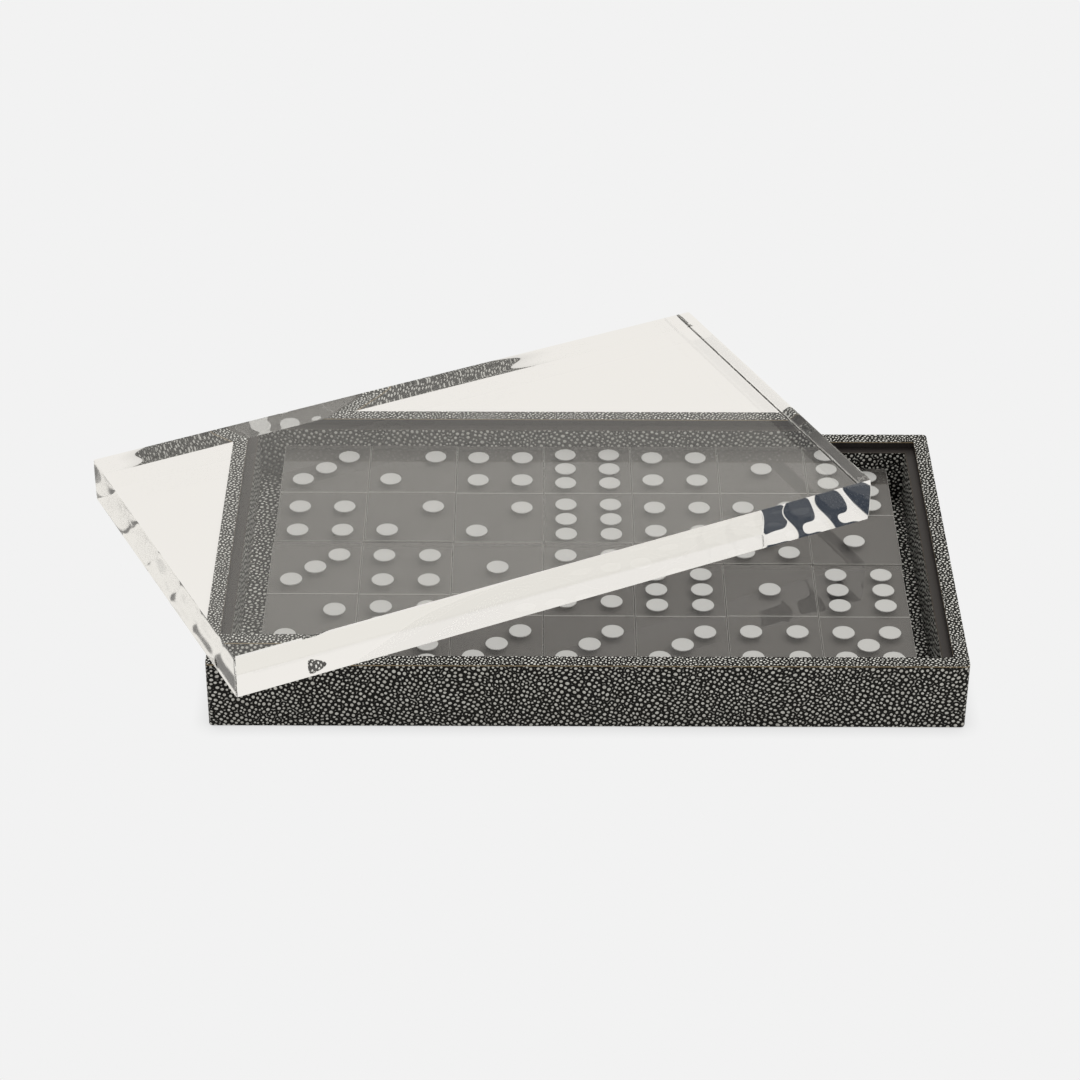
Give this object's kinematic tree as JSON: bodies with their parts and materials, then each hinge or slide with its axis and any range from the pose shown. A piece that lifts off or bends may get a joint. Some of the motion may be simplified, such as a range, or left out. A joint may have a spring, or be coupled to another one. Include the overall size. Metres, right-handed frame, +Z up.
{
  "type": "domino box",
  "caption": "Shallow pebble-covered box holding stacked clear-faced dominoes, with a thick transparent lift-off lid that seats on a ledge inside the rim.",
  "frame": {"origin": "centre of the tray's underside, on the surface that it stands on", "axes": "+X along the tray's long side to the right, +Y away from the player, +Z up out of the tray"},
  "size_m": [0.3678, 0.2768, 0.0515],
  "materials": {
    "shagreen": "printed pebbles, pale grey on black, satin",
    "smooth_lining": "smooth, dark brown-black, satin",
    "board": "bare fibreboard",
    "felt": "short nap",
    "clear_acrylic": "polished, clear",
    "domino_acrylic": "clear polished face over a charcoal back, with silver-grey pips"
  },
  "bodies": {
    "tray": {"base_felt": "felt", "base_board": "board", "floor_lining": "shagreen", "wall_front": "board", "wall_right": "board", "wall_back": "board", "wall_left": "board", "liner_front": "board", "liner_right": "board", "liner_back": "board", "liner_left": "board", "wrap_front": "shagreen", "wrap_right": "shagreen", "wrap_back": "shagreen", "wrap_left": "shagreen", "rim_front": "shagreen", "rim_right": "shagreen", "rim_back": "shagreen", "rim_left": "shagreen", "ledge_front": "smooth_lining", "ledge_right": "smooth_lining", "ledge_back": "smooth_lining", "ledge_left": "smooth_lining", "lining_front": "shagreen", "lining_right": "shagreen", "lining_back": "shagreen", "lining_left": "shagreen"},
    "lid": {"lid": "clear_acrylic"},
    "domino_4_3": {"domino_4_3": "domino_acrylic"},
    "domino_2_2": {"domino_2_2": "domino_acrylic"},
    "domino_4_2": {"domino_4_2": "domino_acrylic"},
    "domino_6_6": {"domino_6_6": "domino_acrylic"},
    "domino_4_4": {"domino_4_4": "domino_acrylic"},
    "domino_5_1": {"domino_5_1": "domino_acrylic"},
    "domino_6_1": {"domino_6_1": "domino_acrylic"},
    "domino_3_2": {"domino_3_2": "domino_acrylic"},
    "domino_6_4": {"domino_6_4": "domino_acrylic"},
    "domino_3_1": {"domino_3_1": "domino_acrylic"},
    "domino_5_3": {"domino_5_3": "domino_acrylic"},
    "domino_6_3": {"domino_6_3": "domino_acrylic"},
    "domino_4_1": {"domino_4_1": "domino_acrylic"},
    "domino_6_5": {"domino_6_5": "domino_acrylic"},
    "domino_0_0": {"domino_0_0": "domino_acrylic"},
    "domino_1_0": {"domino_1_0": "domino_acrylic"},
    "domino_2_0": {"domino_2_0": "domino_acrylic"},
    "domino_3_0": {"domino_3_0": "domino_acrylic"},
    "domino_4_0": {"domino_4_0": "domino_acrylic"},
    "domino_5_0": {"domino_5_0": "domino_acrylic"},
    "domino_6_0": {"domino_6_0": "domino_acrylic"},
    "domino_1_1": {"domino_1_1": "domino_acrylic"},
    "domino_2_1": {"domino_2_1": "domino_acrylic"},
    "domino_5_2": {"domino_5_2": "domino_acrylic"},
    "domino_6_2": {"domino_6_2": "domino_acrylic"},
    "domino_3_3": {"domino_3_3": "domino_acrylic"},
    "domino_5_4": {"domino_5_4": "domino_acrylic"},
    "domino_5_5": {"domino_5_5": "domino_acrylic"}
  },
  "joints": [
    {"name": "lid_lift", "type": "slide", "parent": "tray", "child": "lid", "axis": [0, 0, 1], "range_m": [0, 0.12]},
    {"name": "domino_4_3_lift", "type": "slide", "parent": "tray", "child": "domino_4_3", "axis": [0, 0, 1], "range_m": [0, 0.072]},
    {"name": "domino_2_2_lift", "type": "slide", "parent": "tray", "child": "domino_2_2", "axis": [0, 0, 1], "range_m": [0, 0.072]},
    {"name": "domino_4_2_lift", "type": "slide", "parent": "tray", "child": "domino_4_2", "axis": [0, 0, 1], "range_m": [0, 0.072]},
    {"name": "domino_6_6_lift", "type": "slide", "parent": "tray", "child": "domino_6_6", "axis": [0, 0, 1], "range_m": [0, 0.072]},
    {"name": "domino_4_4_lift", "type": "slide", "parent": "tray", "child": "domino_4_4", "axis": [0, 0, 1], "range_m": [0, 0.072]},
    {"name": "domino_5_1_lift", "type": "slide", "parent": "tray", "child": "domino_5_1", "axis": [0, 0, 1], "range_m": [0, 0.072]},
    {"name": "domino_6_1_lift", "type": "slide", "parent": "tray", "child": "domino_6_1", "axis": [0, 0, 1], "range_m": [0, 0.072]},
    {"name": "domino_3_2_lift", "type": "slide", "parent": "tray", "child": "domino_3_2", "axis": [0, 0, 1], "range_m": [0, 0.072]},
    {"name": "domino_6_4_lift", "type": "slide", "parent": "tray", "child": "domino_6_4", "axis": [0, 0, 1], "range_m": [0, 0.072]},
    {"name": "domino_3_1_lift", "type": "slide", "parent": "tray", "child": "domino_3_1", "axis": [0, 0, 1], "range_m": [0, 0.072]},
    {"name": "domino_5_3_lift", "type": "slide", "parent": "tray", "child": "domino_5_3", "axis": [0, 0, 1], "range_m": [0, 0.072]},
    {"name": "domino_6_3_lift", "type": "slide", "parent": "tray", "child": "domino_6_3", "axis": [0, 0, 1], "range_m": [0, 0.072]},
    {"name": "domino_4_1_lift", "type": "slide", "parent": "tray", "child": "domino_4_1", "axis": [0, 0, 1], "range_m": [0, 0.072]},
    {"name": "domino_6_5_lift", "type": "slide", "parent": "tray", "child": "domino_6_5", "axis": [0, 0, 1], "range_m": [0, 0.06]},
    {"name": "domino_0_0_lift", "type": "slide", "parent": "tray", "child": "domino_0_0", "axis": [0, 0, 1], "range_m": [0, 0.036]},
    {"name": "domino_1_0_lift", "type": "slide", "parent": "tray", "child": "domino_1_0", "axis": [0, 0, 1], "range_m": [0, 0.036]},
    {"name": "domino_2_0_lift", "type": "slide", "parent": "tray", "child": "domino_2_0", "axis": [0, 0, 1], "range_m": [0, 0.036]},
    {"name": "domino_3_0_lift", "type": "slide", "parent": "tray", "child": "domino_3_0", "axis": [0, 0, 1], "range_m": [0, 0.036]},
    {"name": "domino_4_0_lift", "type": "slide", "parent": "tray", "child": "domino_4_0", "axis": [0, 0, 1], "range_m": [0, 0.036]},
    {"name": "domino_5_0_lift", "type": "slide", "parent": "tray", "child": "domino_5_0", "axis": [0, 0, 1], "range_m": [0, 0.036]},
    {"name": "domino_6_0_lift", "type": "slide", "parent": "tray", "child": "domino_6_0", "axis": [0, 0, 1], "range_m": [0, 0.036]},
    {"name": "domino_1_1_lift", "type": "slide", "parent": "tray", "child": "domino_1_1", "axis": [0, 0, 1], "range_m": [0, 0.036]},
    {"name": "domino_2_1_lift", "type": "slide", "parent": "tray", "child": "domino_2_1", "axis": [0, 0, 1], "range_m": [0, 0.036]},
    {"name": "domino_5_2_lift", "type": "slide", "parent": "tray", "child": "domino_5_2", "axis": [0, 0, 1], "range_m": [0, 0.036]},
    {"name": "domino_6_2_lift", "type": "slide", "parent": "tray", "child": "domino_6_2", "axis": [0, 0, 1], "range_m": [0, 0.036]},
    {"name": "domino_3_3_lift", "type": "slide", "parent": "tray", "child": "domino_3_3", "axis": [0, 0, 1], "range_m": [0, 0.036]},
    {"name": "domino_5_4_lift", "type": "slide", "parent": "tray", "child": "domino_5_4", "axis": [0, 0, 1], "range_m": [0, 0.036]},
    {"name": "domino_5_5_lift", "type": "slide", "parent": "tray", "child": "domino_5_5", "axis": [0, 0, 1], "range_m": [0, 0.03]}
  ],
  "couplings": [
    {"joint": "domino_4_3_lift", "follows": "lid_lift", "ratio": 0.6},
    {"joint": "domino_2_2_lift", "follows": "lid_lift", "ratio": 0.6},
    {"joint": "domino_4_2_lift", "follows": "lid_lift", "ratio": 0.6},
    {"joint": "domino_6_6_lift", "follows": "lid_lift", "ratio": 0.6},
    {"joint": "domino_4_4_lift", "follows": "lid_lift", "ratio": 0.6},
    {"joint": "domino_5_1_lift", "follows": "lid_lift", "ratio": 0.6},
    {"joint": "domino_6_1_lift", "follows": "lid_lift", "ratio": 0.6},
    {"joint": "domino_3_2_lift", "follows": "lid_lift", "ratio": 0.6},
    {"joint": "domino_6_4_lift", "follows": "lid_lift", "ratio": 0.6},
    {"joint": "domino_3_1_lift", "follows": "lid_lift", "ratio": 0.6},
    {"joint": "domino_5_3_lift", "follows": "lid_lift", "ratio": 0.6},
    {"joint": "domino_6_3_lift", "follows": "lid_lift", "ratio": 0.6},
    {"joint": "domino_4_1_lift", "follows": "lid_lift", "ratio": 0.6},
    {"joint": "domino_0_0_lift", "follows": "lid_lift", "ratio": 0.3},
    {"joint": "domino_1_0_lift", "follows": "lid_lift", "ratio": 0.3},
    {"joint": "domino_2_0_lift", "follows": "lid_lift", "ratio": 0.3},
    {"joint": "domino_3_0_lift", "follows": "lid_lift", "ratio": 0.3},
    {"joint": "domino_4_0_lift", "follows": "lid_lift", "ratio": 0.3},
    {"joint": "domino_5_0_lift", "follows": "lid_lift", "ratio": 0.3},
    {"joint": "domino_6_0_lift", "follows": "lid_lift", "ratio": 0.3},
    {"joint": "domino_1_1_lift", "follows": "lid_lift", "ratio": 0.3},
    {"joint": "domino_2_1_lift", "follows": "lid_lift", "ratio": 0.3},
    {"joint": "domino_5_2_lift", "follows": "lid_lift", "ratio": 0.3},
    {"joint": "domino_6_2_lift", "follows": "lid_lift", "ratio": 0.3},
    {"joint": "domino_3_3_lift", "follows": "lid_lift", "ratio": 0.3},
    {"joint": "domino_5_4_lift", "follows": "lid_lift", "ratio": 0.3},
    {"joint": "domino_5_5_lift", "follows": "domino_6_5_lift", "ratio": 0.5}
  ]
}
